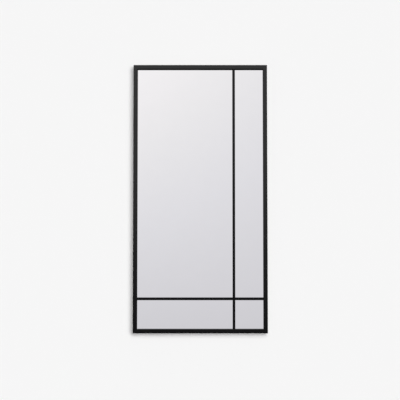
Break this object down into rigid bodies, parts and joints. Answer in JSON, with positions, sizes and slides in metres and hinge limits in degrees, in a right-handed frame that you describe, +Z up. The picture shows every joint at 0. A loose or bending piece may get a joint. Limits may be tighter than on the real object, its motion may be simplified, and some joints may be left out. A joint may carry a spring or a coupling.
{
  "type": "wall mirror",
  "caption": "Tall wall mirror in a slim black metal frame, with an upright and a level bar crossing in front of the pane, turn buttons behind and keyholes to hang it.",
  "frame": {"origin": "midway between the two keyhole head holes, on the wall plane", "axes": "+X across to the right seen from the front, +Y into the wall, +Z up"},
  "size_m": [0.6, 0.03, 1.2],
  "materials": {
    "frame_black": "satin powder coat",
    "key_alloy": "as cast",
    "zinc_steel": "bright zinc plate",
    "mirror_silver": "silvered float glass",
    "seat_foam": "closed cell foam",
    "board_foam": "closed cell foam",
    "rubber_black": "matte",
    "nylon_washer": "natural nylon",
    "fibre_board": "raw fibreboard"
  },
  "bodies": {
    "frame": {"top_rail": "frame_black", "bottom_rail": "frame_black", "left_stile": "frame_black", "right_stile": "frame_black", "vertical_bar": "frame_black", "horizontal_bar": "frame_black", "corner_key_top_left": "key_alloy", "corner_key_top_right": "key_alloy", "corner_key_bottom_left": "key_alloy", "corner_key_bottom_right": "key_alloy", "corner_screws": "zinc_steel", "bar_end_pins": "zinc_steel", "turn_button_screws": "zinc_steel", "hanging_rail": "zinc_steel", "hanging_rail_screws": "zinc_steel", "mirror_glass": "mirror_silver", "seat_tape_top": "seat_foam", "seat_tape_bottom": "seat_foam", "seat_tape_left": "seat_foam", "seat_tape_right": "seat_foam", "bar_tape_vertical": "seat_foam", "bar_tape_horizontal_left": "seat_foam", "bar_tape_horizontal_right": "seat_foam", "board_tape_top": "board_foam", "board_tape_upper": "board_foam", "board_tape_lower": "board_foam", "board_tape_bottom": "board_foam", "setting_block_left": "rubber_black", "setting_block_right": "rubber_black", "wall_bumper_top_left": "rubber_black", "wall_bumper_top_right": "rubber_black", "wall_bumper_bottom_left": "rubber_black", "wall_bumper_bottom_right": "rubber_black", "turn_button_washers": "nylon_washer", "backing_board": "fibre_board"},
    "turn_button_left_top": {"turn_button_left_top": "zinc_steel"},
    "turn_button_left_middle": {"turn_button_left_middle": "zinc_steel"},
    "turn_button_left_bottom": {"turn_button_left_bottom": "zinc_steel"},
    "turn_button_right_top": {"turn_button_right_top": "zinc_steel"},
    "turn_button_right_middle": {"turn_button_right_middle": "zinc_steel"},
    "turn_button_right_bottom": {"turn_button_right_bottom": "zinc_steel"},
    "turn_button_top": {"turn_button_top": "zinc_steel"},
    "turn_button_bottom": {"turn_button_bottom": "zinc_steel"}
  },
  "joints": [
    {"name": "turn_button_left_top_pivot", "type": "hinge", "parent": "frame", "child": "turn_button_left_top", "pos_m": [-0.295, -0.0051, -0.06], "axis": [0, 1, 0], "continuous": true},
    {"name": "turn_button_left_middle_pivot", "type": "hinge", "parent": "frame", "child": "turn_button_left_middle", "pos_m": [-0.295, -0.0051, -0.48], "axis": [0, 1, 0], "continuous": true},
    {"name": "turn_button_left_bottom_pivot", "type": "hinge", "parent": "frame", "child": "turn_button_left_bottom", "pos_m": [-0.295, -0.0051, -0.9], "axis": [0, 1, 0], "continuous": true},
    {"name": "turn_button_right_top_pivot", "type": "hinge", "parent": "frame", "child": "turn_button_right_top", "pos_m": [0.295, -0.0051, -0.06], "axis": [0, 1, 0], "continuous": true},
    {"name": "turn_button_right_middle_pivot", "type": "hinge", "parent": "frame", "child": "turn_button_right_middle", "pos_m": [0.295, -0.0051, -0.48], "axis": [0, 1, 0], "continuous": true},
    {"name": "turn_button_right_bottom_pivot", "type": "hinge", "parent": "frame", "child": "turn_button_right_bottom", "pos_m": [0.295, -0.0051, -0.9], "axis": [0, 1, 0], "continuous": true},
    {"name": "turn_button_top_pivot", "type": "hinge", "parent": "frame", "child": "turn_button_top", "pos_m": [0, -0.0051, 0.115], "axis": [0, 1, 0], "continuous": true},
    {"name": "turn_button_bottom_pivot", "type": "hinge", "parent": "frame", "child": "turn_button_bottom", "pos_m": [0, -0.0051, -1.075], "axis": [0, 1, 0], "continuous": true}
  ]
}
